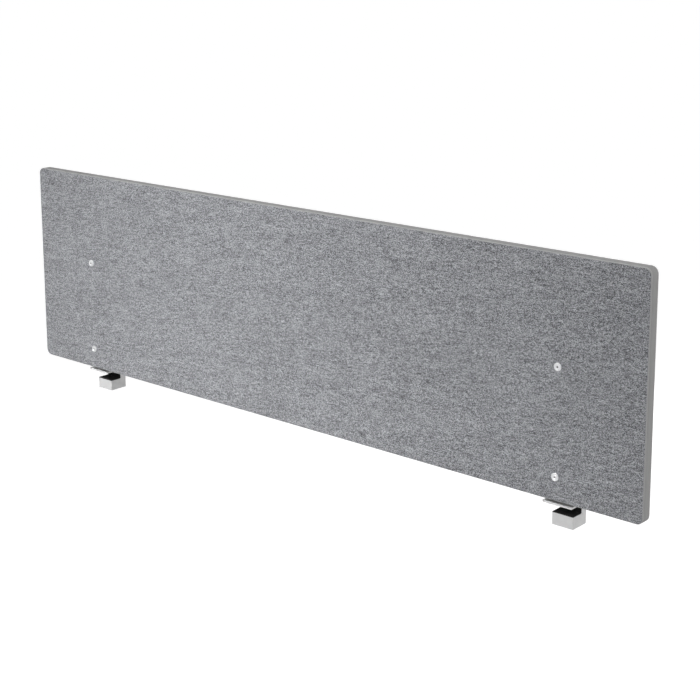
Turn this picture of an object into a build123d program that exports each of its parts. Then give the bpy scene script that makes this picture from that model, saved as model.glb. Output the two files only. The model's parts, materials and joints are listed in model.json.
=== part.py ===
from build123d import *
import os

# A desk divider screen: a felt-faced panel that two clamps hold upright on the rear edge of a desk top.
# X runs along the screen, -Y points to the person at the desk and +Z is up.
# The origin is at the middle of the screen, where the desk's upper face meets its rear edge.

# Panel: a smooth fibre core between two sheets of felt
panel_length = 1800
panel_height = 500
core_thickness = 18
felt_thickness = 4
panel_corner_radius = 15
felt_edge_radius = 2.5
panel_setback = 34  # from the desk's rear edge forward to the back of the panel
panel_lift = 8.5  # open gap between the top plates and the panel's lower edge

# Screws through the panel
bracket_inset = 198  # from each end of the panel to the middle of its clamp
lower_screw_height = 50  # above the panel's lower edge
upper_screw_height = 275
screw_diameter = 6
screw_head_diameter = 17
screw_head_thickness = 2.6
screw_head_bevel = 1.2
screw_end_gap = 5  # between the screw's end and the cap nut's head
sleeve_diameter = 9
sleeve_start_gap = 10  # between the panel's front and the cap nut's sleeve
sleeve_end_wall = 2
hexagon_size = 4  # across the flats
hexagon_depth = 1.8
hexagon_lead_in = 0.8

# Upright on the back of the panel
upright_width = 69
upright_thickness = 4
upright_top_margin = 25  # above the upper screw
upright_corner_radius = 6
upright_edge_chamfer = 0.5
weld_leg = 3
weld_end_margin = 3

# Top plate, which lies on the desk
plate_width = 69
plate_thickness = 4
plate_reach = 52  # from the desk's rear edge forward to the plate's front
plate_corner_radius = 1
plate_edge_chamfer = 0.4
plate_pad_thickness = 1
plate_pad_inset = 5
plate_pad_corner_radius = 3

# Lower jaw, which comes up under the desk
jaw_opening = 23.5  # between the pads, as photographed
jaw_width = 50
jaw_height = 25.5
jaw_reach = 29.5  # from the desk's rear edge forward to the jaw's front
web_depth = 17
jaw_wall = 3
web_floor = 4
jaw_edge_radius = 1
jaw_pad_thickness = 1.5
stop_pad_thickness = 1.5
jaw_pad_inset = 0.5
closing_travel = 5.5
opening_travel = 14.5

# Guide tongue, which the jaw slides on
tongue_corner_radius = 1
tongue_lead_in = 0.8
tongue_screw_diameter = 5
tongue_screw_head_diameter = 9.5
tongue_screw_length = 14
tongue_screw_spacing = 28
tongue_hexagon_size = 3  # across the flats
tongue_hexagon_depth = 1.6

# Clamp bolt, turned from below, and the ring that keeps it in the jaw
bolt_diameter = 6
bolt_head_diameter = 10
bolt_head_height = 6
bolt_hexagon_size = 5  # across the flats
bolt_hexagon_depth = 3
bolt_tip_chamfer = 0.8
bolt_head_chamfer = 0.5
bolt_least_grip = 9.5  # thread still in the tongue with the jaw fully down
ring_thickness = 0.7
ring_diameter = 9
ring_groove_diameter = 5
ring_slot = 3

# Clearances
slide_clearance = 0.3  # between the tongue and the jaw's walls, each side
running_clearance = 0.05  # radial, around turning shafts
hole_clearance = 0.3  # radial, around screws in the panel
socket_clearance = 0.75  # radial, around the bolt's head in its pocket
turning_play = 0.1  # between the bolt's head or ring and the floor it turns on
stop_clearance = 0.5  # left between moving and fixed pieces at the jaw's upper limit
cut_overrun = 1  # how far a cut runs past the face it opens

# Slope of countersinks and lead-ins, in degrees from their axis
countersink_slope = 45
hexagon_sides = 6

# Heights, worked out from the desk's upper face at zero
plate_bottom = plate_pad_thickness
plate_top = plate_bottom + plate_thickness
panel_bottom = plate_top + panel_lift
panel_middle = panel_bottom + panel_height / 2
lower_screw_z = panel_bottom + lower_screw_height
upper_screw_z = panel_bottom + upper_screw_height
upright_top = upper_screw_z + upright_top_margin
jaw_top = -jaw_opening - jaw_pad_thickness
jaw_bottom = jaw_top - jaw_height
web_top = plate_bottom - closing_travel - stop_clearance
floor_bottom = jaw_bottom + bolt_head_height
floor_top = floor_bottom + web_floor
ring_bottom = floor_top + turning_play
ring_top = ring_bottom + ring_thickness
tongue_bottom = ring_top + closing_travel + stop_clearance
bolt_head_top = floor_bottom - turning_play
bolt_head_bottom = bolt_head_top - bolt_head_height
bolt_tip = tongue_bottom + opening_travel + bolt_least_grip

# Places across the thickness, worked out from the desk's rear edge at zero
panel_back = -panel_setback
core_back = panel_back - felt_thickness
core_front = core_back - core_thickness
panel_front = core_front - felt_thickness
upright_back = panel_back + upright_thickness
web_front = stop_pad_thickness
web_back = web_front + web_depth
web_middle = (web_front + web_back) / 2
chamber_width = jaw_width - 2 * jaw_wall
chamber_depth = web_depth - 2 * jaw_wall
tongue_width = chamber_width - 2 * slide_clearance
tongue_depth = chamber_depth - 2 * slide_clearance

# Places along the length
clamp_x = panel_length / 2 - bracket_inset

# Holes for the screws and cap nuts
screw_hole_radius = screw_diameter / 2 + hole_clearance
sleeve_hole_radius = sleeve_diameter / 2 + hole_clearance


def level(x, y, z):
    """A level plane that faces up, with its middle at the given point."""
    return Plane(origin=(x, y, z), x_dir=(1, 0, 0), z_dir=(0, 0, 1))


def facing_front(x, y, z):
    """An upright plane that faces the person at the desk, with its middle at the given point."""
    return Plane(origin=(x, y, z), x_dir=(1, 0, 0), z_dir=(0, -1, 0))


def facing_back(x, y, z):
    """An upright plane that faces away from the desk, with its middle at the given point."""
    return Plane(origin=(x, y, z), x_dir=(-1, 0, 0), z_dir=(0, 1, 0))


def make_panel_layer(back_y, thickness, hole_radius):
    """One sheet of the panel, with its four holes, from back_y forward."""
    holes = [
        (x, z - panel_middle)
        for x in (-clamp_x, clamp_x)
        for z in (lower_screw_z, upper_screw_z)
    ]
    with BuildPart() as layer:
        with BuildSketch(facing_front(0, back_y, panel_middle)):
            RectangleRounded(panel_length, panel_height, panel_corner_radius)
            with Locations(*holes):
                Circle(hole_radius, mode=Mode.SUBTRACT)
        extrude(amount=thickness)
    return layer.part


def make_front_felt():
    """The felt that faces the desk, rounded along its outer edge."""
    with BuildPart() as front_felt:
        add(make_panel_layer(core_front, felt_thickness, screw_hole_radius))
        fillet(front_felt.faces().sort_by(Axis.Y)[0].outer_wire().edges(), felt_edge_radius)
    return front_felt.part


def make_back_felt():
    """The felt that faces away from the desk, rounded along its outer edge."""
    with BuildPart() as back_felt:
        add(make_panel_layer(panel_back, felt_thickness, sleeve_hole_radius))
        fillet(back_felt.faces().sort_by(Axis.Y)[-1].outer_wire().edges(), felt_edge_radius)
    return back_felt.part


def make_panel_screw(x, z):
    """A connector screw: flat bevelled head on the front felt, shank back into the cap nut."""
    head_face = facing_front(x, panel_front - screw_head_thickness, z)
    with BuildPart() as panel_screw:
        with BuildSketch(facing_front(x, panel_front, z)):
            Circle(screw_head_diameter / 2)
        extrude(amount=screw_head_thickness)
        chamfer(panel_screw.edges().group_by(Axis.Y)[0], screw_head_bevel)
        with BuildSketch(facing_front(x, panel_front, z)):
            Circle(screw_diameter / 2)
        extrude(amount=-(upright_back - screw_end_gap - panel_front))
        with BuildSketch(head_face):
            Circle(hexagon_size / 2 + hexagon_lead_in)
        extrude(amount=-hexagon_lead_in, taper=countersink_slope, mode=Mode.SUBTRACT)
        with BuildSketch(head_face):
            RegularPolygon(hexagon_size / 2, hexagon_sides, major_radius=False)
        extrude(amount=-hexagon_depth, mode=Mode.SUBTRACT)
    return panel_screw.part


def make_cap_nut(x, z):
    """A cap nut: flat head on the upright, sleeve forward into the panel around the screw."""
    sleeve_length = upright_back - panel_front - sleeve_start_gap
    head_face = facing_back(x, upright_back + screw_head_thickness, z)
    with BuildPart() as cap_nut:
        with BuildSketch(facing_back(x, upright_back, z)):
            Circle(screw_head_diameter / 2)
        extrude(amount=screw_head_thickness)
        chamfer(cap_nut.edges().group_by(Axis.Y)[-1], screw_head_bevel)
        with BuildSketch(facing_front(x, upright_back, z)):
            Circle(sleeve_diameter / 2)
        extrude(amount=sleeve_length)
        with BuildSketch(facing_front(x, upright_back - sleeve_end_wall, z)):
            Circle(screw_diameter / 2 + running_clearance)
        extrude(amount=sleeve_length, mode=Mode.SUBTRACT)
        with BuildSketch(head_face):
            RegularPolygon(hexagon_size / 2, hexagon_sides, major_radius=False)
        extrude(amount=-hexagon_depth, mode=Mode.SUBTRACT)
    return cap_nut.part


def make_upright(x):
    """The steel flat on the back of the panel, with the holes for its two cap nuts."""
    height = upright_top - plate_top
    middle = plate_top + height / 2
    with BuildPart() as upright:
        with BuildSketch(facing_front(x, upright_back, middle)):
            Rectangle(upright_width, height)
            with Locations((0, lower_screw_z - middle), (0, upper_screw_z - middle)):
                Circle(sleeve_hole_radius, mode=Mode.SUBTRACT)
        extrude(amount=upright_thickness)
        fillet(upright.edges().filter_by(Axis.Y).group_by(Axis.Z)[-1], upright_corner_radius)
        rear_edges = upright.faces().sort_by(Axis.Y)[-1].outer_wire().edges()
        foot_edges = rear_edges.filter_by(Axis.X).group_by(Axis.Z)[0]
        chamfer(rear_edges - foot_edges, upright_edge_chamfer)
    return upright.part


def make_welds(x):
    """The two weld beads, before and behind the upright's foot."""
    bead_length = upright_width - 2 * weld_end_margin
    start_x = x - bead_length / 2
    with BuildPart() as welds:
        for root_y, direction in ((panel_back, -1), (upright_back, 1)):
            with BuildSketch(Plane(origin=(start_x, root_y, plate_top), x_dir=(0, 1, 0), z_dir=(1, 0, 0))):
                Polygon((0, 0), (direction * weld_leg, 0), (0, weld_leg), align=None)
            extrude(amount=bead_length)
    return welds.part


def make_top_plate(x):
    """The plate on the desk top, from under the panel back over the jaw's web."""
    depth = web_back + plate_reach
    middle = (web_back - plate_reach) / 2
    with BuildPart() as top_plate:
        with BuildSketch(level(x, middle, plate_bottom)):
            RectangleRounded(plate_width, depth, plate_corner_radius)
        extrude(amount=plate_thickness)
        chamfer(top_plate.faces().sort_by(Axis.Z)[-1].outer_wire().edges(), plate_edge_chamfer)
        chamfer(top_plate.faces().sort_by(Axis.Z)[0].outer_wire().edges(), plate_edge_chamfer)
        with Locations((x, web_middle, plate_top)):
            with GridLocations(tongue_screw_spacing, 0, 2, 1):
                CounterSinkHole(
                    tongue_screw_diameter / 2 + running_clearance,
                    tongue_screw_head_diameter / 2 + running_clearance,
                    counter_sink_angle=2 * countersink_slope,
                )
    return top_plate.part


def make_plate_pad(x):
    """The thin pad under the top plate, in front of the desk's rear edge."""
    depth = plate_reach - 2 * plate_pad_inset
    with BuildPart() as plate_pad:
        with BuildSketch(level(x, -plate_reach / 2, 0)):
            RectangleRounded(plate_width - 2 * plate_pad_inset, depth, plate_pad_corner_radius)
        extrude(amount=plate_pad_thickness)
    return plate_pad.part


def make_guide_tongue(x):
    """The block under the top plate that the jaw slides on and the clamp bolt screws into."""
    with BuildPart() as guide_tongue:
        with BuildSketch(level(x, web_middle, tongue_bottom)):
            RectangleRounded(tongue_width, tongue_depth, tongue_corner_radius)
        extrude(amount=plate_bottom - tongue_bottom)
        chamfer(guide_tongue.faces().sort_by(Axis.Z)[0].outer_wire().edges(), tongue_lead_in)
        with Locations((x, web_middle, plate_bottom)):
            Hole(bolt_diameter / 2 + running_clearance)
            with GridLocations(tongue_screw_spacing, 0, 2, 1):
                Hole(tongue_screw_diameter / 2 + running_clearance, depth=tongue_screw_length)
    return guide_tongue.part


def make_tongue_screws(x):
    """The two countersunk screws that hold the tongue to the top plate."""
    head_depth = (tongue_screw_head_diameter - tongue_screw_diameter) / 2
    with BuildPart() as tongue_screws:
        for screw_x in (x - tongue_screw_spacing / 2, x + tongue_screw_spacing / 2):
            top = level(screw_x, web_middle, plate_top)
            with BuildSketch(top):
                Circle(tongue_screw_head_diameter / 2)
            extrude(amount=-head_depth, taper=countersink_slope)
            with BuildSketch(top):
                Circle(tongue_screw_diameter / 2)
            extrude(amount=-tongue_screw_length)
            with BuildSketch(top):
                RegularPolygon(tongue_hexagon_size / 2, hexagon_sides, major_radius=False)
            extrude(amount=-tongue_hexagon_depth, mode=Mode.SUBTRACT)
    return tongue_screws.part


def make_lower_jaw(x):
    """The L-shaped jaw: a hollow box under the desk and a web behind its edge, open at the top."""
    jaw_depth = web_back + jaw_reach
    jaw_middle = (web_back - jaw_reach) / 2
    hollow_width = (chamber_width - jaw_wall) / 2
    hollow_front = jaw_wall - jaw_reach
    hollow_depth = web_front - hollow_front
    with BuildPart() as lower_jaw:
        with BuildSketch(level(x, jaw_middle, jaw_bottom)):
            Rectangle(jaw_width, jaw_depth)
        extrude(amount=jaw_height)
        with BuildSketch(level(x, web_middle, jaw_top)):
            Rectangle(jaw_width, web_depth)
        extrude(amount=web_top - jaw_top)
        fillet(lower_jaw.edges().filter_by(Axis.Z), jaw_edge_radius)
        with BuildSketch(level(x, web_middle, floor_top)):
            RectangleRounded(chamber_width, chamber_depth, jaw_edge_radius)
        extrude(amount=web_top - floor_top, mode=Mode.SUBTRACT)
        with BuildSketch(level(x, web_middle, jaw_bottom)):
            Circle(bolt_head_diameter / 2 + socket_clearance)
        extrude(amount=bolt_head_height, mode=Mode.SUBTRACT)
        with BuildSketch(level(x, web_middle, floor_bottom)):
            Circle(bolt_diameter / 2 + running_clearance)
        extrude(amount=web_floor, mode=Mode.SUBTRACT)
        with BuildSketch(level(x, hollow_front + hollow_depth / 2, jaw_bottom)):
            with GridLocations(hollow_width + jaw_wall, 0, 2, 1):
                RectangleRounded(hollow_width, hollow_depth, jaw_edge_radius)
        extrude(amount=jaw_height - jaw_wall, mode=Mode.SUBTRACT)
    return lower_jaw.part


def make_jaw_pad(x):
    """The rubber pad on the jaw, which presses on the desk from below."""
    depth = jaw_reach - jaw_pad_inset
    with BuildPart() as jaw_pad:
        with BuildSketch(level(x, -depth / 2, jaw_top)):
            Rectangle(jaw_width - 2 * jaw_pad_inset, depth)
        extrude(amount=jaw_pad_thickness)
    return jaw_pad.part


def make_stop_pad(x):
    """The rubber pad on the web, above the jaw pad, which the desk's rear edge stops against."""
    height = web_top - jaw_pad_inset + jaw_opening
    with BuildPart() as stop_pad:
        with BuildSketch(facing_front(x, web_front, height / 2 - jaw_opening)):
            Rectangle(jaw_width - 2 * jaw_pad_inset, height)
        extrude(amount=stop_pad_thickness)
    return stop_pad.part


def make_clamp_bolt(x):
    """The bolt that draws the jaw up, with its head in the jaw's floor and its thread in the tongue."""
    with BuildPart() as clamp_bolt:
        with BuildSketch(level(x, web_middle, bolt_head_bottom)):
            Circle(bolt_head_diameter / 2)
        extrude(amount=bolt_head_height)
        chamfer(clamp_bolt.edges().group_by(Axis.Z)[0], bolt_head_chamfer)
        with BuildSketch(level(x, web_middle, bolt_head_top)):
            Circle(bolt_diameter / 2)
        extrude(amount=bolt_tip - bolt_head_top)
        chamfer(clamp_bolt.edges().group_by(Axis.Z)[-1], bolt_tip_chamfer)
        with BuildSketch(level(x, web_middle, ring_bottom)):
            Circle(bolt_diameter / 2 + cut_overrun)
            Circle(ring_groove_diameter / 2, mode=Mode.SUBTRACT)
        extrude(amount=ring_thickness, mode=Mode.SUBTRACT)
        with BuildSketch(level(x, web_middle, bolt_head_bottom)):
            RegularPolygon(bolt_hexagon_size / 2, hexagon_sides, major_radius=False)
        extrude(amount=bolt_hexagon_depth, mode=Mode.SUBTRACT)
    return clamp_bolt.part


def make_retaining_ring(x):
    """The open spring ring in the bolt's groove, above the jaw's floor."""
    with BuildPart() as retaining_ring:
        with BuildSketch(level(x, web_middle, ring_bottom)):
            Circle(ring_diameter / 2)
            Circle(ring_groove_diameter / 2, mode=Mode.SUBTRACT)
            with Locations((0, ring_diameter / 2)):
                Rectangle(ring_slot, ring_diameter, mode=Mode.SUBTRACT)
        extrude(amount=ring_thickness)
    return retaining_ring.part


def save(piece, name):
    """Labels a finished piece and writes it to its own file."""
    piece.label = name
    export_step(piece, f"parts/{name}.step")


os.makedirs("parts", exist_ok=True)

save(make_panel_layer(core_back, core_thickness, sleeve_hole_radius), "panel_core")
save(make_front_felt(), "front_felt")
save(make_back_felt(), "back_felt")

for side, x in (("left", -clamp_x), ("right", clamp_x)):
    for place, z in (("lower", lower_screw_z), ("upper", upper_screw_z)):
        save(make_panel_screw(x, z), f"{side}_{place}_panel_screw")
        save(make_cap_nut(x, z), f"{side}_{place}_cap_nut")
    save(make_upright(x), f"{side}_upright")
    save(make_welds(x), f"{side}_weld_beads")
    save(make_top_plate(x), f"{side}_top_plate")
    save(make_plate_pad(x), f"{side}_plate_pad")
    save(make_guide_tongue(x), f"{side}_guide_tongue")
    save(make_tongue_screws(x), f"{side}_tongue_screws")
    save(make_lower_jaw(x), f"{side}_lower_jaw")
    save(make_jaw_pad(x), f"{side}_jaw_pad")
    save(make_stop_pad(x), f"{side}_stop_pad")
    save(make_clamp_bolt(x), f"{side}_clamp_bolt")
    save(make_retaining_ring(x), f"{side}_retaining_ring")
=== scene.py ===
import json
import math

import bmesh
import bpy
from mathutils import Matrix, Vector, geometry, noise


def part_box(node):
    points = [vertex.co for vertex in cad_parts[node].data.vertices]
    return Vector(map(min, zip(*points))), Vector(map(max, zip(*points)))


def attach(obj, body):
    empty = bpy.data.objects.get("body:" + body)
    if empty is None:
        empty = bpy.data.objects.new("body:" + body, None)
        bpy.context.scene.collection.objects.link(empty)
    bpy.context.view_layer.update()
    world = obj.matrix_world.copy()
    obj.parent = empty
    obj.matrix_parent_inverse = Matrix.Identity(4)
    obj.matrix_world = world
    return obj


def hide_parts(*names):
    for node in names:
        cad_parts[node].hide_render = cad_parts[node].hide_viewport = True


# A desk divider screen: a felt-faced panel on two desk clamps. Lengths are in metres.
# X runs along the screen, -Y points to the person at the desk and +Z is up.

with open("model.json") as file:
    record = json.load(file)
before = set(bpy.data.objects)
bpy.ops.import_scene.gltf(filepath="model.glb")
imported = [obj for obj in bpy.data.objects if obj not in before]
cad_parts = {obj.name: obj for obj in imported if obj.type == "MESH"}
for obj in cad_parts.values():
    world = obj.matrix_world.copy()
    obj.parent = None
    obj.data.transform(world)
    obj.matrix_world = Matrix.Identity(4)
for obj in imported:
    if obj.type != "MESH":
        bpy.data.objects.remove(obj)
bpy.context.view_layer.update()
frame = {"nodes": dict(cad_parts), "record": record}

MM = 0.001
SIDES = ("left", "right")
PANEL_SCREWS = ("left_lower", "left_upper", "right_lower", "right_upper")

# The felt sheets: their edge
CORNER_RADIUS = 15 * MM
CORNER_STEPS = 7
OUTLINE_STEP = 8 * MM
EDGE_RADIUS = 2.5 * MM
EDGE_STEPS = 6  # rows round the soft front edge
SEAM_SIZE = 0.6 * MM  # the small groove between the felt and the core
CROWN_REACH = 9 * MM  # width of the soft slope inside the edge
CROWN_DEPTH = 0.25 * MM
CROWN_ROWS = (0.4, 1.0)  # where rows of points lie on the slope, as shares of its width

# Their face
PROUD = 0.45 * MM  # how far the felt stands out beside what presses on it
WAVES = ((14, 3.1, 1.0), (45, 7.7, 0.5))  # its unevenness: waves per metre, place in the noise, weight
WAVE_SHARE = 0.35  # how much of PROUD the waves are
PRESS_REACH = 13 * MM  # how far from a pressed place the felt is drawn in
PRESS_ROWS = (0.0, 0.12, 0.3, 0.5, 0.75, 1.0)  # rows of points round a pressed place, as shares
PRESS_CORNER_STEPS = 6
GRID_STEP = 9 * MM
GRID_TO_CROWN = 4 * MM  # the least distance from the grid's points to the rows of the crown
GRID_TO_PRESS = 3 * MM  # and to the rows round a pressed place
FELT_SHARP_ANGLE = 50  # degrees

# Their screw holes, and what presses on them
SCREW_HOLE_RADIUS = 3.3 * MM
SLEEVE_HOLE_RADIUS = 4.8 * MM
HOLE_STEPS = 28
HOLE_SHARE = 0.98  # a triangle whose middle is inside this share of a hole is left out
HEAD_RADIUS = 8.5 * MM
UPRIGHT_CORNER = 6 * MM

# Settings of Blender's triangulation
FILL_INSIDE = 1
FILL_TOLERANCE = 1e-7

# A panel screw from the socket's floor out to the shaft: radius, depth behind the head's front, and
# how far the ring is a hexagon
SCREW_PROFILE = (
    (2.0 * MM, 1.8 * MM, 1.0),
    (2.0 * MM, 0.45 * MM, 1.0),
    (2.55 * MM, 0.05 * MM, 0.0),
    (2.8 * MM, 0.0, 0.0),
    (3.9 * MM, 0.0, 0.0),
    (4.15 * MM, 0.12 * MM, 0.0),
    (4.75 * MM, 0.85 * MM, 0.0),
    (5.15 * MM, 0.85 * MM, 0.0),
    (5.75 * MM, 0.12 * MM, 0.0),
    (6.0 * MM, 0.02 * MM, 0.0),
    (7.2 * MM, 0.0, 0.0),
    (7.9 * MM, 0.25 * MM, 0.0),
    (8.35 * MM, 0.75 * MM, 0.0),
    (8.5 * MM, 1.3 * MM, 0.0),
    (8.5 * MM, 2.6 * MM, 0.0),
    (3.0 * MM, 2.6 * MM, 0.0),
)
SCREW_STEPS = 48
SCREW_SHARP_ANGLE = 35  # degrees

# The worn edges of the metal pieces
WORN_NODES = ("lower_jaw", "guide_tongue", "top_plate", "upright")
WORN_RADIUS = 0.45 * MM
WORN_STEPS = 3
WORN_ANGLE = math.radians(40)  # only edges over this angle are worn

# The camera, as fitted to the photograph
CAMERA_PLACE = (2.2532, -2.4487, 1.1336)
CAMERA_TURN = math.radians(41.115)
CAMERA_TILT = math.radians(11.305)
CAMERA_ROLL = math.radians(-0.146)
FOCAL_PIXELS = 1512.6
PRINCIPAL_ROW = 225  # the picture row that the camera points at
PICTURE_SIDE = 700
SENSOR_WIDTH = 36.0

FLOOR_DROP = 0.74  # the desk's upper face is this far above the floor
FLOOR_SIDE = 60
FLOOR_MATT = 0.65  # the floor's tone in the light that it throws back
FLOOR_PALE = 0.25  # the part of its tone that shows a shadow
FLOOR_GLOW = 0.94
SKY_LEVEL = 0.42  # the surround's light from the sides and below
SKY_TOP = 0.16  # and from straight above

# Soft lamps: name, place, what it faces, side, watts, spread in degrees, and whether gloss and bare
# metal reflect it
LAMPS = (
    ("key_softbox", (-0.7, -2.95, 2.62), (-0.15, 0, -0.8), 0.9, 20.6, 63, True),
    ("side_softbox", (1.7, -0.05, 1.75), (0.7, -0.05, 0.3), 0.8, 12, 180, True),
    ("low_softbox", (2.1, 0.1, -0.25), (0.9, 0, 0.1), 0.7, 5.6, 180, True),
    ("back_softbox", (-0.9, 3.0, 0.15), (-0.1, 0, 0.25), 1.0, 34, 180, False),
    ("left_softbox", (-2.7, 0.2, 0.05), (-0.8, 0, 0.2), 0.7, 7, 180, False),
)


def set_inputs(tree, node, inputs):
    """Sets a node's inputs. One given as a socket is linked, any other is set as a value."""
    for name, value in inputs.items():
        if isinstance(value, bpy.types.NodeSocket):
            tree.links.new(value, node.inputs[name])
        else:
            node.inputs[name].default_value = value


def add_node(tree, kind, inputs=None, **settings):
    """Adds a shader node with its settings and inputs."""
    made = tree.nodes.new("ShaderNode" + kind)
    for name, value in settings.items():
        setattr(made, name, value)
    set_inputs(tree, made, inputs or {})
    return made


def new_material(name):
    """A new node material, with its tree, its shader and its object coordinates."""
    material = bpy.data.materials.new(name)
    material.use_nodes = True
    tree = material.node_tree
    shader = tree.nodes["Principled BSDF"]
    place = add_node(tree, "TexCoord").outputs["Object"]
    return material, tree, shader, place


def turned(tree, place, angle, scale):
    """The coordinates turned about Y by an angle in degrees, then scaled."""
    turn = add_node(tree, "Mapping", {"Vector": place, "Rotation": (0, math.radians(angle), 0)})
    return add_node(tree, "Mapping", {"Vector": turn.outputs[0], "Scale": scale}).outputs[0]


def grain(tree, place, scale, detail=2.0, roughness=0.5):
    """A noise value from 0 to 1, with about that many grains per metre."""
    inputs = {"Vector": place, "Scale": scale, "Detail": detail, "Roughness": roughness}
    return add_node(tree, "TexNoise", inputs).outputs["Fac"]


def math_node(tree, operation, a, b=0.0):
    return add_node(tree, "Math", {0: a, 1: b}, operation=operation).outputs[0]


def weighted_sum(tree, parts):
    """Half plus each grain's distance from half times its weight."""
    total = 0.5 - 0.5 * sum(weight for _, weight in parts)
    for value, weight in parts:
        total = math_node(tree, "ADD", math_node(tree, "MULTIPLY", value, weight), total)
    return total


def ramp(tree, value, stops):
    """A colour ramp through (position, colour) stops."""
    made = add_node(tree, "ValToRGB", {"Fac": value})
    elements = made.color_ramp.elements
    while len(elements) < len(stops):
        elements.new(0.5)
    for element, (position, colour) in zip(elements, stops):
        element.position = position
        element.color = (*colour, 1)
    return made.outputs["Color"]


def mapped(tree, value, from_range, to_range):
    """A value that runs over the second range while the given one runs over the first."""
    inputs = {"Value": value, "From Min": from_range[0], "From Max": from_range[1]}
    inputs |= {"To Min": to_range[0], "To Max": to_range[1]}
    return add_node(tree, "MapRange", inputs).outputs["Result"]


def blended(tree, share, first, second):
    """The first colour where share is 0 and the second where it is 1."""
    inputs = {"Fac": share, "Color1": first, "Color2": second}
    return add_node(tree, "MixRGB", inputs).outputs[0]


def bump(tree, height, strength, distance):
    """A surface normal that follows a grain."""
    inputs = {"Height": height, "Strength": strength, "Distance": distance}
    return add_node(tree, "Bump", inputs).outputs["Normal"]


def grey(level, cool=0.0):
    """A grey of that level, with a little blue where cool is above 0."""
    return (level * (1 - cool), level * (1 - cool * 0.5), level * (1 + cool))


def felt_tones(tree, place):
    """The tones of the felt's face, of its cut edges, and of what its bump follows."""
    wander = add_node(tree, "TexNoise", {"Vector": place, "Scale": 90.0, "Detail": 1.0})
    inputs = {0: wander.outputs["Color"], 1: (6 * MM, 6 * MM, 6 * MM)}
    shift = add_node(tree, "VectorMath", inputs, operation="MULTIPLY").outputs[0]
    bent = add_node(tree, "VectorMath", {0: place, 1: shift}, operation="ADD").outputs[0]

    def streaks(coordinates, angle, length, scale, detail, roughness=0.5):
        """Grains drawn out along X: the smaller length is, the longer they are."""
        drawn = turned(tree, coordinates, angle, (length, 1.0, 1.0))
        return grain(tree, drawn, scale, detail, roughness)

    fibres_a = streaks(bent, angle=24, length=0.16, scale=900, detail=1.0)
    fibres_b = streaks(bent, angle=-37, length=0.16, scale=820, detail=1.0)
    flecks = streaks(place, angle=3, length=0.6, scale=800, detail=2.0, roughness=0.65)
    threads = streaks(bent, angle=4, length=0.08, scale=520, detail=1.0)
    tufts = streaks(bent, angle=6, length=0.18, scale=130, detail=2.0, roughness=0.6)
    clouds = streaks(place, angle=5, length=0.24, scale=42, detail=2.0, roughness=0.55)
    fine = [(fibres_a, 0.4), (fibres_b, 0.4), (flecks, 3.2)]
    face = weighted_sum(tree, fine + [(threads, 0.8), (tufts, 0.34), (clouds, 0.17)])
    edge = weighted_sum(tree, [(fibres_a, 0.4), (flecks, 0.5)])
    height = weighted_sum(tree, [(fibres_a, 0.5), (fibres_b, 0.5), (flecks, 1.0)])
    return face, edge, height


def felt_material():
    """Mottled grey felt: short dark and light fibres in flecks and streaks, with soft cloudy patches.

    The cut edges are plainer than the faces. The rim between them is painted palest: partly the felt's
    fuzz, partly a painted highlight on the rounded edge.
    """
    material, tree, shader, place = new_material("mottled_felt")
    face_tone, edge_tone, height = felt_tones(tree, place)
    face_stops = [
        (0.0, grey(0.05, 0.04)),
        (0.42, grey(0.235, 0.042)),
        (0.62, grey(0.36, 0.042)),
        (1.0, grey(0.66, 0.03)),
    ]
    face_colour = ramp(tree, face_tone, face_stops)
    edge_colour = ramp(tree, edge_tone, [(0.2, grey(0.31)), (0.8, grey(0.42))])
    # The rim's tone, paler than the edge's: partly felt fuzz, partly a painted highlight
    rim_highlight_colour = ramp(tree, edge_tone, [(0.2, grey(0.355)), (0.8, grey(0.46))])

    # 1 where the surface faces along Y, as the faces do, and 0 where it faces across Y
    normal = add_node(tree, "SeparateXYZ", {0: add_node(tree, "TexCoord").outputs["Normal"]})
    facing = math_node(tree, "ABSOLUTE", normal.outputs["Y"])
    edge = mapped(tree, facing, (0.9, 0.35), (0.0, 1.0))
    # Where the rolled rim faces half along and half across Y, it is painted paler: a painted highlight
    rim_highlight_stops = [(0.3, grey(0.0)), (0.5, grey(1.0)), (0.8, grey(1.0)), (0.95, grey(0.0))]
    rim_highlight = ramp(tree, facing, rim_highlight_stops)
    colour = blended(tree, edge, face_colour, edge_colour)
    set_inputs(tree, shader, {
        "Base Color": blended(tree, rim_highlight, colour, rim_highlight_colour),
        "Roughness": 0.95,
        "Specular IOR Level": 0.2,
        "Sheen Weight": 0.2,
        "Sheen Roughness": 0.6,
        "Normal": bump(tree, height, strength=1.0, distance=1.4 * MM),
    })
    return material


def core_material():
    """The cut edge of pressed fibre board: smooth and grey, with faint layers."""
    material, tree, shader, place = new_material("pressed_fibre_edge")
    layers = grain(tree, turned(tree, place, angle=0, scale=(0.05, 1.0, 0.05)), scale=900)
    specks = grain(tree, place, scale=700, roughness=0.6)
    clouds = grain(tree, place, scale=40, detail=1.0)
    tone = weighted_sum(tree, [(layers, 0.5), (specks, 0.5), (clouds, 0.3)])
    stops = [(0.25, (0.268, 0.267, 0.265)), (0.75, (0.348, 0.347, 0.344))]
    set_inputs(tree, shader, {
        "Base Color": ramp(tree, tone, stops),
        "Roughness": 0.9,
        "Specular IOR Level": 0.25,
        "Normal": bump(tree, tone, strength=0.35, distance=0.3 * MM),
    })
    return material


def coated_material(name, low, high, roughness):
    """Satin coated metal: a fine orange-peel skin, with faint specks and cloudy wear."""
    material, tree, shader, place = new_material(name)
    peel = grain(tree, place, scale=1100, roughness=0.6)
    clouds = grain(tree, place, scale=60, detail=3.0, roughness=0.6)
    tone = weighted_sum(tree, [(peel, 0.4), (clouds, 0.8)])
    set_inputs(tree, shader, {
        "Base Color": ramp(tree, tone, [(0.2, low), (0.8, high)]),
        "Roughness": mapped(tree, clouds, (0.3, 0.7), (roughness - 0.05, roughness + 0.07)),
        "Normal": bump(tree, peel, strength=0.25, distance=0.1 * MM),
    })
    return material


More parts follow.
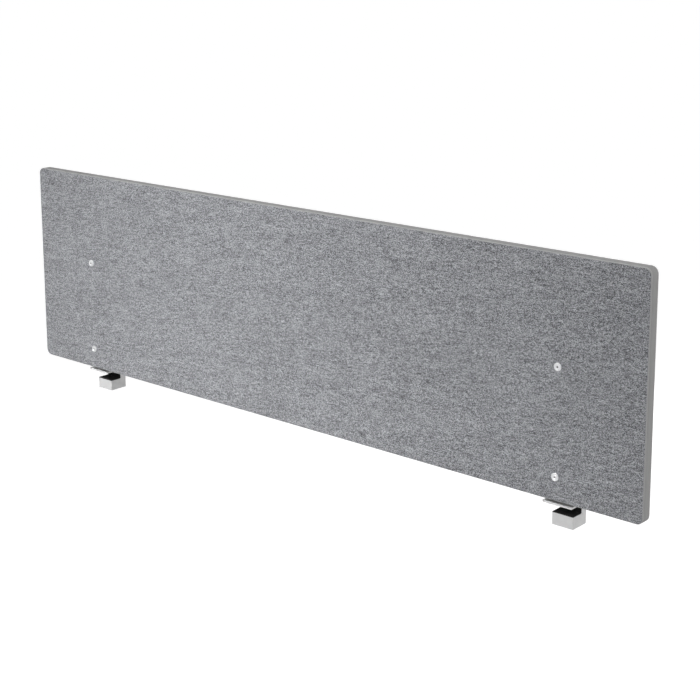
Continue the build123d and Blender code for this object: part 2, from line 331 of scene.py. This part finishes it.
def machined_material():
    """Plain machined aluminium, with fine marks along its length."""
    material, tree, shader, place = new_material("machined_aluminium")
    marks = grain(tree, turned(tree, place, angle=0, scale=(1.0, 1.0, 0.04)), scale=2500)
    clouds = grain(tree, place, scale=80)
    tone = weighted_sum(tree, [(marks, 0.7), (clouds, 0.4)])
    set_inputs(tree, shader, {
        "Base Color": ramp(tree, tone, [(0.2, grey(0.55)), (0.8, grey(0.72))]),
        "Metallic": 1.0,
        "Roughness": 0.38,
        "Normal": bump(tree, marks, strength=0.3, distance=0.05 * MM),
    })
    return material


def plated_material():
    """Bright zinc plate, a little cloudy, with fine pits."""
    material, tree, shader, place = new_material("bright_zinc")
    pits = grain(tree, place, scale=2600, roughness=0.6)
    clouds = grain(tree, place, scale=260)
    tone = weighted_sum(tree, [(pits, 0.4), (clouds, 0.6)])
    set_inputs(tree, shader, {
        "Base Color": ramp(tree, tone, [(0.2, grey(0.62, 0.01)), (0.8, grey(0.76, 0.01))]),
        "Metallic": 1.0,
        "Roughness": mapped(tree, clouds, (0.3, 0.7), (0.26, 0.4)),
        "Normal": bump(tree, pits, strength=0.2, distance=0.05 * MM),
    })
    return material


def socket_shade_material():
    """Painted shade inside a screw's socket: zinc painted dark and dull, with a faint mottle."""
    material, tree, shader, place = new_material("socket_painted_shade")
    shade_mottle = grain(tree, place, scale=1500, roughness=0.6)
    set_inputs(tree, shader, {
        "Base Color": ramp(tree, shade_mottle, [(0.3, grey(0.12)), (0.7, grey(0.2))]),
        "Metallic": 1.0,
        "Roughness": 0.5,
        "Normal": bump(tree, shade_mottle, strength=0.3, distance=0.05 * MM),
    })
    return material


def rubber_material():
    """Matt black rubber with a fine dusty grain."""
    material, tree, shader, place = new_material("black_rubber")
    dust = grain(tree, place, scale=900, detail=3.0, roughness=0.65)
    clouds = grain(tree, place, scale=90)
    tone = weighted_sum(tree, [(dust, 0.6), (clouds, 0.5)])
    set_inputs(tree, shader, {
        "Base Color": ramp(tree, tone, [(0.25, grey(0.025)), (0.8, grey(0.055))]),
        "Roughness": 0.85,
        "Specular IOR Level": 0.03,
        "Normal": bump(tree, dust, strength=0.3, distance=0.15 * MM),
    })
    return material


def rounded_loop(centre, half_size, radius, counts):
    """Points round a rectangle with round corners.

    counts are the steps along X, along Z and round a corner.
    """
    straight_x, straight_z = half_size[0] - radius, half_size[1] - radius
    points = []
    for turn in range(4):
        sign_x, sign_z = ((1, 1), (-1, 1), (-1, -1), (1, -1))[turn]
        corner_x, corner_z = centre[0] + sign_x * straight_x, centre[1] + sign_z * straight_z
        for step in range(counts[2]):
            angle = math.pi / 2 * (turn + step / counts[2])
            points.append((corner_x + radius * math.cos(angle), corner_z + radius * math.sin(angle)))
        along_x = turn % 2 == 0
        length = 2 * (straight_x if along_x else straight_z)
        steps = counts[0] if along_x else counts[1]
        end = math.pi / 2 * (turn + 1)
        start_x, start_z = corner_x + radius * math.cos(end), corner_z + radius * math.sin(end)
        step_x, step_z = (-sign_x, 0) if along_x else (0, -sign_z)
        for step in range(steps):
            share = length * step / steps
            points.append((start_x + step_x * share, start_z + step_z * share))
    return points


def distance_to(shape, x, z):
    """How far a point lies outside a shape; below 0 inside it.

    A shape is a rectangle with round corners: its centre, half its size and its corner radius.
    """
    (centre_x, centre_z), (half_x, half_z), radius = shape
    out_x, out_z = abs(x - centre_x) - (half_x - radius), abs(z - centre_z) - (half_z - radius)
    return math.hypot(max(out_x, 0), max(out_z, 0)) + min(max(out_x, out_z), 0) - radius


def smooth(share):
    """A soft step from 0 to 1."""
    share = min(max(share, 0.0), 1.0)
    return share * share * (3 - 2 * share)


def middle(node):
    """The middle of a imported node's box."""
    low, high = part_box(node)
    return (low + high) / 2


def screw_places():
    """Where the panel screws stand, as (x, z)."""
    places = [middle(f"{name}_panel_screw") for name in PANEL_SCREWS]
    return [(place.x, place.z) for place in places]


def add_object(name, data):
    """A new object in the scene."""
    made = bpy.data.objects.new(name, data)
    bpy.context.scene.collection.objects.link(made)
    return made


def add_mesh(name, mesh, sharp_angle):
    """Makes a smooth object of a finished mesh, with edges over sharp_angle degrees kept sharp."""
    bmesh.ops.recalc_face_normals(mesh, faces=mesh.faces)
    data = bpy.data.meshes.new(name)
    mesh.to_mesh(data)
    mesh.free()
    data.shade_smooth()
    data.set_sharp_from_angle(angle=math.radians(sharp_angle))
    return add_object(name, data)


def join(mesh, first, second):
    """Faces between two loops of vertices."""
    for i in range(len(first)):
        j = (i + 1) % len(first)
        mesh.faces.new((first[i], first[j], second[j], second[i]))


class FeltSheet:
    """A felt sheet with a soft rolled edge. It stands a little proud, except where pressed.

    outward is -1 for the sheet that faces -Y and 1 for the other. pressed is a list of shapes on its
    face. "Depth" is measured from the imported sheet's face towards the core.
    """

    def __init__(self, node, outward, hole_radius, pressed):
        self.low, self.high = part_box(node)
        self.outward = outward
        self.hole_radius = hole_radius
        self.pressed = pressed
        self.holes = screw_places()
        near, far = (self.low.y, self.high.y) if outward < 0 else (self.high.y, self.low.y)
        self.face_y, self.inner_y = near, far
        self.thickness = self.high.y - self.low.y
        centre = ((self.low.x + self.high.x) / 2, (self.low.z + self.high.z) / 2)
        half_size = ((self.high.x - self.low.x) / 2, (self.high.z - self.low.z) / 2)
        self.outline = (centre, half_size, CORNER_RADIUS)
        self.mesh = bmesh.new()

    def lift(self, x, z):
        """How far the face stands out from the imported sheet's plane."""
        nearest = min(distance_to(shape, x, z) for shape in self.pressed)
        slope = smooth(nearest / PRESS_REACH)
        crown = smooth(-distance_to(self.outline, x, z) / CROWN_REACH) - 1
        wave = sum(
            weight * noise.noise(Vector((x * rate, start * self.outward, z * rate)))
            for rate, start, weight in WAVES
        )
        return PROUD * slope * (1 + WAVE_SHARE * wave) + CROWN_DEPTH * crown * slope

    def face_point(self, x, z):
        return (x, self.face_y + self.outward * self.lift(x, z), z)

    def inner_point(self, x, z):
        return (x, self.inner_y, z)

    def inset_loop(self, inset):
        """The sheet's outline, moved inward."""
        centre, half_size, radius = self.outline
        steps = [round(2 * (half - radius) / OUTLINE_STEP) for half in half_size]
        half = [size - inset for size in half_size]
        return rounded_loop(centre, half, max(radius - inset, MM), (*steps, CORNER_STEPS))

    def ring(self, inset, depth):
        """One loop of the rolled edge."""
        made = []
        for x, z in self.inset_loop(inset):
            rise = self.lift(x, z) * smooth(inset / EDGE_RADIUS)
            made.append(self.mesh.verts.new((x, self.face_y + self.outward * (rise - depth), z)))
        return made

    def rolled_edge(self):
        """The rings from the groove at the core to the flat of the face, joined."""
        rings = [self.ring(SEAM_SIZE, self.thickness), self.ring(0, self.thickness - SEAM_SIZE)]
        for step in range(EDGE_STEPS + 1):
            angle = math.pi / 2 * step / EDGE_STEPS
            inset = EDGE_RADIUS * (1 - math.cos(angle))
            rings.append(self.ring(inset, EDGE_RADIUS * (1 - math.sin(angle))))
        for outer, inner in zip(rings, rings[1:]):
            join(self.mesh, outer, inner)
        return rings

    def hole_points(self):
        """Points round each screw hole, hole by hole."""
        angles = [2 * math.pi * i / HOLE_STEPS for i in range(HOLE_STEPS)]
        reach = self.hole_radius
        return [
            (x + reach * math.cos(a), z + reach * math.sin(a)) for x, z in self.holes for a in angles
        ]

    def press_points(self):
        """Rows of points round each pressed place, as far as they lie on the sheet."""
        points = []
        for centre, half_size, radius in self.pressed:
            steps = [max(1, round(2 * h / GRID_STEP)) if h > radius else 1 for h in half_size]
            for share in PRESS_ROWS:
                grow = share * PRESS_REACH
                half = [size + grow for size in half_size]
                loop = rounded_loop(centre, half, radius + grow, (*steps, PRESS_CORNER_STEPS))
                points += [p for p in loop if distance_to(self.outline, *p) < -EDGE_RADIUS - MM]
        return points

    def crown_points(self):
        """Rows of points on the soft slope inside the edge."""
        insets = [EDGE_RADIUS + share * CROWN_REACH for share in CROWN_ROWS]
        return [point for inset in insets for point in self.inset_loop(inset)]

    def grid_points(self):
        """An even grid over the rest of the face."""
        points = []
        size_x, size_z = self.high.x - self.low.x, self.high.z - self.low.z
        steps_x, steps_z = round(size_x / GRID_STEP), round(size_z / GRID_STEP)
        margin = EDGE_RADIUS + CROWN_REACH + GRID_TO_CROWN
        middle_row = PRESS_REACH / 2  # the rows round a pressed place fill a band about this distance
        for i in range(steps_x):
            for j in range(steps_z):
                x = self.low.x + (i + 0.5) * size_x / steps_x
                z = self.low.z + (j + 0.5) * size_z / steps_z
                clear = distance_to(self.outline, x, z) < -margin
                nearest = min(abs(distance_to(s, x, z) - middle_row) for s in self.pressed)
                if clear and nearest > middle_row + GRID_TO_PRESS:
                    points.append((x, z))
        return points

    def fill(self, points, edges, own_verts, place_point):
        """Triangles between the points, with the screw holes left open.

        The first points are those of own_verts. place_point gives the others their place in space.
        """
        flat = [Vector(point) for point in points]
        made = geometry.delaunay_2d_cdt(flat, edges, [], FILL_INSIDE, FILL_TOLERANCE)
        verts = []
        for place, origins in zip(made[0], made[3]):
            origin = min((o for o in origins if o < len(own_verts)), default=None)
            if origin is None:
                verts.append(self.mesh.verts.new(place_point(*place)))
            else:
                verts.append(own_verts[origin])
        clearance = self.hole_radius * HOLE_SHARE
        for triangle in made[2]:
            x, z = (sum(made[0][i][axis] for i in triangle) / len(triangle) for axis in (0, 1))
            if all(math.hypot(x - hx, z - hz) > clearance for hx, hz in self.holes):
                self.mesh.faces.new([verts[i] for i in triangle])

    def build(self, name):
        """Makes the sheet's object."""
        rings = self.rolled_edge()
        outer_size = len(rings[-1])
        around_holes = self.hole_points()
        edges = [(i, (i + 1) % outer_size) for i in range(outer_size)]
        for first in range(outer_size, outer_size + len(around_holes), HOLE_STEPS):
            edges += [(first + i, first + (i + 1) % HOLE_STEPS) for i in range(HOLE_STEPS)]
        hole_tops = [self.mesh.verts.new(self.face_point(x, z)) for x, z in around_holes]
        hole_floors = [self.mesh.verts.new(self.inner_point(x, z)) for x, z in around_holes]
        for first in range(0, len(around_holes), HOLE_STEPS):
            part = slice(first, first + HOLE_STEPS)
            join(self.mesh, hole_tops[part], hole_floors[part])

        face = [(v.co.x, v.co.z) for v in rings[-1]] + around_holes
        face += self.press_points() + self.crown_points() + self.grid_points()
        self.fill(face, edges, rings[-1] + hole_tops, self.face_point)
        back = [(v.co.x, v.co.z) for v in rings[0]] + around_holes
        self.fill(back, edges, rings[0] + hole_floors, self.inner_point)
        piece = add_mesh(name, self.mesh, FELT_SHARP_ANGLE)
        shading = piece.modifiers.new("edge_shading", "WEIGHTED_NORMAL")
        shading.keep_sharp = True
        return piece


def build_screw(name, node):
    """A dished flat-headed screw with a hexagon socket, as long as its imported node."""
    low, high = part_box(node)
    centre = middle(node)
    mesh = bmesh.new()

    def ring(radius, y, hexagon):
        """A loop round the screw's axis: a circle where hexagon is 0, a hexagon where it is 1."""
        made = []
        for step in range(SCREW_STEPS):
            angle = 2 * math.pi * step / SCREW_STEPS
            corner = angle % (math.pi / 3) - math.pi / 6
            reach = radius * (1 + hexagon * (1 / math.cos(corner) - 1))
            x, z = centre.x + reach * math.cos(angle), centre.z + reach * math.sin(angle)
            made.append(mesh.verts.new((x, y, z)))
        return made

    rings = [ring(radius, low.y + depth, hexagon) for radius, depth, hexagon in SCREW_PROFILE]
    rings.append(ring(SCREW_PROFILE[-1][0], high.y, 0.0))
    for inner, outer in zip(rings, rings[1:]):
        join(mesh, inner, outer)
    floor = mesh.faces.new(rings[0])
    mesh.faces.new(rings[-1])
    # The socket's floor and walls take the second material, which is painted shade in the recess.
    for face in {f for v in floor.verts for f in v.link_faces}:
        face.material_index = 1
    return add_mesh(name, mesh, SCREW_SHARP_ANGLE)


def make_screws(material, socket):
    """The four dished screws that hold the panel to its uprights."""
    for name in PANEL_SCREWS:
        node = f"{name}_panel_screw"
        piece = build_screw(f"{name}_dished_screw", node)
        piece.data.materials.append(material)
        # The second material is painted shade for inside the socket.
        piece.data.materials.append(socket)
        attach(piece, "frame")
        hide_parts(node)


def dress_nodes(materials):
    """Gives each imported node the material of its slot."""
    for part in frame["record"]["subparts"]:
        piece = frame["nodes"][part["node"]]
        piece.data.materials.clear()
        piece.data.materials.append(materials[part["material_slot"]])


def soften_edges():
    """Small worn radii on the metal pieces' edges."""
    for name, piece in frame["nodes"].items():
        if any(word in name for word in WORN_NODES):
            bevel = piece.modifiers.new("worn_edges", "BEVEL")
            bevel.width = WORN_RADIUS
            bevel.segments = WORN_STEPS
            bevel.limit_method = "ANGLE"
            bevel.angle_limit = WORN_ANGLE
            bevel.harden_normals = True


def upright_shape(side):
    """What an upright presses on. It runs on past the felt's lower edge."""
    low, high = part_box(f"{side}_upright")
    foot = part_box("back_felt")[0].z - CORNER_RADIUS
    centre = ((low.x + high.x) / 2, (foot + high.z) / 2)
    return centre, ((high.x - low.x) / 2, (high.z - foot) / 2), UPRIGHT_CORNER


def make_felts(material):
    """The two felt sheets, each pressed where a screw head or an upright lies on it."""
    heads = [(place, (HEAD_RADIUS, HEAD_RADIUS), HEAD_RADIUS) for place in screw_places()]
    uprights = [upright_shape(side) for side in SIDES]
    front = FeltSheet("front_felt", -1, SCREW_HOLE_RADIUS, heads).build("front_felt_sheet")
    back = FeltSheet("back_felt", 1, SLEEVE_HOLE_RADIUS, uprights).build("back_felt_sheet")
    for piece, node in ((front, "front_felt"), (back, "back_felt")):
        piece.data.materials.append(material)
        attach(piece, "frame")
        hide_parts(node)


def seen_directly(tree):
    """1 for a ray from the camera or off a mirror or glass, else 0."""
    path = add_node(tree, "LightPath").outputs
    straight = math_node(tree, "MAXIMUM", path["Is Camera Ray"], path["Is Glossy Ray"])
    return math_node(tree, "MAXIMUM", straight, path["Is Transmission Ray"])


def make_floor():
    """A plain white floor, far below as under a desk, that keeps a faint shadow."""
    bpy.ops.mesh.primitive_plane_add(size=FLOOR_SIDE, location=(0, 0, -FLOOR_DROP))
    floor = bpy.context.object
    floor.name = "floor"
    material = bpy.data.materials.new("white_floor")
    material.use_nodes = True
    tree = material.node_tree
    tree.nodes.clear()
    matt = add_node(tree, "BsdfDiffuse", {"Color": (*grey(FLOOR_MATT), 1)}).outputs[0]
    pale = add_node(tree, "BsdfDiffuse", {"Color": (*grey(FLOOR_PALE), 1)}).outputs[0]
    glow = add_node(tree, "Emission", {"Color": (1, 1, 1, 1), "Strength": FLOOR_GLOW}).outputs[0]
    both = add_node(tree, "AddShader", {0: pale, 1: glow}).outputs[0]
    mix = add_node(tree, "MixShader", {"Fac": seen_directly(tree), 1: matt, 2: both}).outputs[0]
    add_node(tree, "OutputMaterial", {"Surface": mix})
    floor.data.materials.append(material)


def make_world():
    """A white surround that lights the object softly, most of all from the sides and below."""
    world = bpy.data.worlds.new("studio")
    bpy.context.scene.world = world
    world.use_nodes = True
    tree = world.node_tree
    tree.nodes.clear()

    def background(strength):
        return add_node(tree, "Background", {"Color": (1, 1, 1, 1), "Strength": strength}).outputs[0]

    direction = add_node(tree, "SeparateXYZ", {0: add_node(tree, "TexCoord").outputs["Generated"]})
    strength = mapped(tree, direction.outputs["Z"], (0.0, 1.0), (SKY_LEVEL, SKY_TOP))
    inputs = {"Fac": seen_directly(tree), 1: background(strength), 2: background(1.0)}
    mix = add_node(tree, "MixShader", inputs).outputs[0]
    add_node(tree, "OutputWorld", {"Surface": mix})


def make_lights():
    """The soft lamps. None of them is seen directly."""
    for name, place, aim, size, power, spread, mirrored in LAMPS:
        lamp = bpy.data.lights.new(name, "AREA")
        lamp.size = size
        lamp.energy = power
        lamp.spread = math.radians(spread)
        holder = add_object(name, lamp)
        holder.location = place
        direction = Vector(aim) - Vector(place)
        holder.rotation_euler = direction.to_track_quat("-Z", "Y").to_euler()
        holder.visible_camera = False
        holder.visible_glossy = mirrored


def make_camera():
    """The camera that took the photograph."""
    camera = bpy.data.cameras.new("photo_camera")
    camera.sensor_width = SENSOR_WIDTH
    camera.lens = FOCAL_PIXELS / PICTURE_SIDE * SENSOR_WIDTH
    camera.shift_y = (PRINCIPAL_ROW - PICTURE_SIDE / 2) / PICTURE_SIDE
    holder = add_object("photo_camera", camera)
    holder.matrix_world = (
        Matrix.Translation(CAMERA_PLACE)
        @ Matrix.Rotation(CAMERA_TURN, 4, "Z")
        @ Matrix.Rotation(math.pi / 2 - CAMERA_TILT, 4, "X")
        @ Matrix.Rotation(CAMERA_ROLL, 4, "Z")
    )
    bpy.context.scene.camera = holder


materials = {
    "felt": felt_material(),
    "core": core_material(),
    "bracket": coated_material("satin_grey_coat", grey(0.71), grey(0.79), roughness=0.36),
    "jaw": coated_material("satin_cast_coat", grey(0.595), grey(0.695), roughness=0.45),
    "tongue": machined_material(),
    "screws": plated_material(),
    "rubber": rubber_material(),
}
dress_nodes(materials)
soften_edges()
make_felts(materials["felt"])
make_screws(materials["screws"], socket_shade_material())
make_floor()
make_world()
make_lights()
make_camera()
bpy.context.scene.view_settings.view_transform = "Standard"
